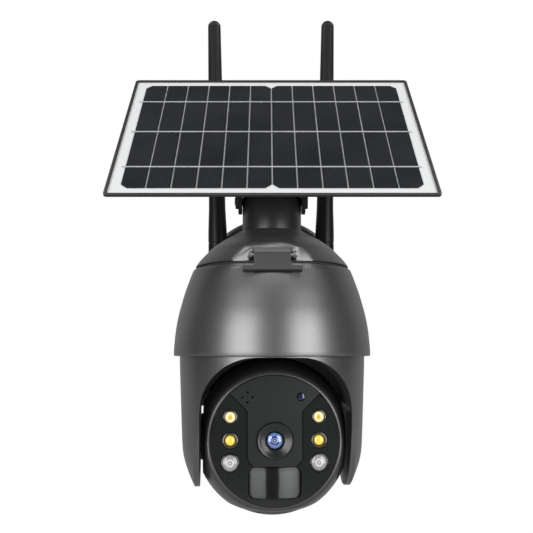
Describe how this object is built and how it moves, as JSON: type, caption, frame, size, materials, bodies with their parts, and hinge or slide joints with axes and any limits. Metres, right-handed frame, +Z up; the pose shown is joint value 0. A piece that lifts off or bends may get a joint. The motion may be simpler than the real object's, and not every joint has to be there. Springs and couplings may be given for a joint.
{
  "type": "security camera",
  "caption": "Solar-powered pan and tilt security camera with an egg-shaped housing, tilting lens ball in a yoke, solar panel on a neck, stick antennas and a wall bracket.",
  "frame": {"origin": "centre of the wall plate's rear face", "axes": "+Y into the wall, +Z up, the camera looks along -Y"},
  "size_m": [0.2352, 0.1917, 0.4216],
  "materials": {
    "gunmetal_paint": "satin",
    "black_plastic": "satin",
    "black_gloss": "polished",
    "satin_black_metal": "satin",
    "steel": "satin",
    "frame_aluminium": "satin",
    "white_backsheet": "satin",
    "solar_cell": "polished",
    "circuit_board": "satin",
    "battery_wrap": "satin",
    "brass": "satin",
    "white_nylon": "satin",
    "black_rubber": "matte",
    "warm_led_lens": "polished",
    "clear_led_lens": "polished",
    "lens_glass": "polished",
    "pir_window": "polished"
  },
  "bodies": {
    "mount_and_housing": {"wall_plate": "black_plastic", "wall_cover": "black_plastic", "mounting_arm": "black_plastic", "antenna_nut_left": "brass", "antenna_nut_right": "brass", "top_cap": "gunmetal_paint", "seam_gasket": "black_rubber", "neck_tube": "satin_black_metal", "main_housing": "gunmetal_paint", "control_panel": "black_plastic", "housing_base": "black_plastic", "pan_bearing": "steel", "battery_holder": "black_plastic", "battery_cell_1": "battery_wrap", "battery_cell_2": "battery_wrap", "battery_cell_3": "battery_wrap", "main_board": "circuit_board", "pan_motor": "steel"},
    "yoke": {"yoke_shell": "gunmetal_paint", "pan_hub": "satin_black_metal", "pan_gear": "white_nylon", "tilt_axle_left": "steel", "tilt_axle_right": "steel", "tilt_gear": "white_nylon"},
    "camera_ball": {"ball_front_shell": "gunmetal_paint", "ball_rear_shell": "gunmetal_paint", "face_plate": "black_gloss", "face_centre_plate": "black_gloss", "lens_bezel": "black_gloss", "lens_glass": "lens_glass", "camera_module": "black_plastic", "led_lens_1": "warm_led_lens", "led_lens_2": "warm_led_lens", "led_lens_3": "clear_led_lens", "led_lens_4": "warm_led_lens", "led_lens_5": "warm_led_lens", "led_lens_6": "clear_led_lens", "pir_window": "pir_window", "light_sensor": "lens_glass", "tilt_bush_left": "black_plastic", "tilt_bush_right": "black_plastic", "tilt_motor": "steel", "card_cover": "black_plastic"},
    "solar_panel": {"solar_frame": "frame_aluminium", "solar_laminate": "white_backsheet", "solar_cells": "solar_cell", "junction_box": "black_plastic", "panel_bracket": "satin_black_metal", "pivot_bolt": "steel", "pivot_nut": "steel"},
    "latch": {"latch": "satin_black_metal"},
    "antenna_elbow_left": {"antenna_base_left": "black_plastic"},
    "antenna_elbow_right": {"antenna_base_right": "black_plastic"},
    "antenna_left": {"antenna_whip_left": "black_plastic"},
    "antenna_right": {"antenna_whip_right": "black_plastic"},
    "pan_pinion": {"pan_pinion": "brass"},
    "tilt_pinion": {"tilt_pinion": "brass"},
    "power_button": {"power_button": "black_rubber"},
    "reset_button": {"reset_button": "steel"},
    "charge_port_flap": {"charge_port_flap": "black_rubber"}
  },
  "joints": [
    {"name": "pan", "type": "hinge", "parent": "mount_and_housing", "child": "yoke", "pos_m": [0, -0.118, -0.056], "axis": [0, 0, 1], "range_deg": [-175, 175]},
    {"name": "tilt", "type": "hinge", "parent": "yoke", "child": "camera_ball", "pos_m": [0, -0.118, -0.1167], "axis": [0.9981, 0.061, 0], "range_deg": [-15, 90]},
    {"name": "pan_pinion_spin", "type": "hinge", "parent": "mount_and_housing", "child": "pan_pinion", "pos_m": [0.024, -0.118, -0.047], "axis": [0, 0, 1], "range_deg": [-540, 540]},
    {"name": "tilt_pinion_spin", "type": "hinge", "parent": "camera_ball", "child": "tilt_pinion", "pos_m": [-0.00128, -0.09704, -0.1167], "axis": [0.9981, 0.061, 0], "range_deg": [-60, 240]},
    {"name": "panel_tilt", "type": "hinge", "parent": "mount_and_housing", "child": "solar_panel", "pos_m": [0, -0.118, 0.061], "axis": [1, 0, 0], "range_deg": [-8, 18]},
    {"name": "antenna_swivel_left", "type": "hinge", "parent": "mount_and_housing", "child": "antenna_elbow_left", "pos_m": [-0.047, -0.025, 0.012], "axis": [0, 1, 0], "range_deg": [-90, 15]},
    {"name": "antenna_swivel_right", "type": "hinge", "parent": "mount_and_housing", "child": "antenna_elbow_right", "pos_m": [0.047, -0.025, 0.012], "axis": [0, 1, 0], "range_deg": [-15, 90]},
    {"name": "antenna_fold_left", "type": "hinge", "parent": "antenna_elbow_left", "child": "antenna_left", "pos_m": [-0.047, -0.025, 0.012], "axis": [0.9997, 0, 0.0227], "range_deg": [0, 5]},
    {"name": "antenna_fold_right", "type": "hinge", "parent": "antenna_elbow_right", "child": "antenna_right", "pos_m": [0.047, -0.025, 0.012], "axis": [0.9997, 0, -0.0227], "range_deg": [0, 5]},
    {"name": "latch_lift", "type": "hinge", "parent": "mount_and_housing", "child": "latch", "pos_m": [0, -0.1712, 0.0124], "axis": [-1, 0, 0], "range_deg": [0, 30]},
    {"name": "power_press", "type": "slide", "parent": "mount_and_housing", "child": "power_button", "axis": [0, -1, 0], "range_m": [0, 0.0012], "stiffness_N_per_m": 800, "springref_m": -0.0006},
    {"name": "reset_press", "type": "slide", "parent": "mount_and_housing", "child": "reset_button", "axis": [0, -1, 0], "range_m": [0, 0.001], "stiffness_N_per_m": 800, "springref_m": -0.0005},
    {"name": "charge_flap", "type": "hinge", "parent": "mount_and_housing", "child": "charge_port_flap", "pos_m": [0.011, -0.0449, -0.0327], "axis": [1, 0, 0], "range_deg": [0, 100]}
  ],
  "couplings": [
    {"joint": "pan_pinion_spin", "follows": "pan", "ratio": -3},
    {"joint": "tilt_pinion_spin", "follows": "tilt", "ratio": 2.5}
  ]
}
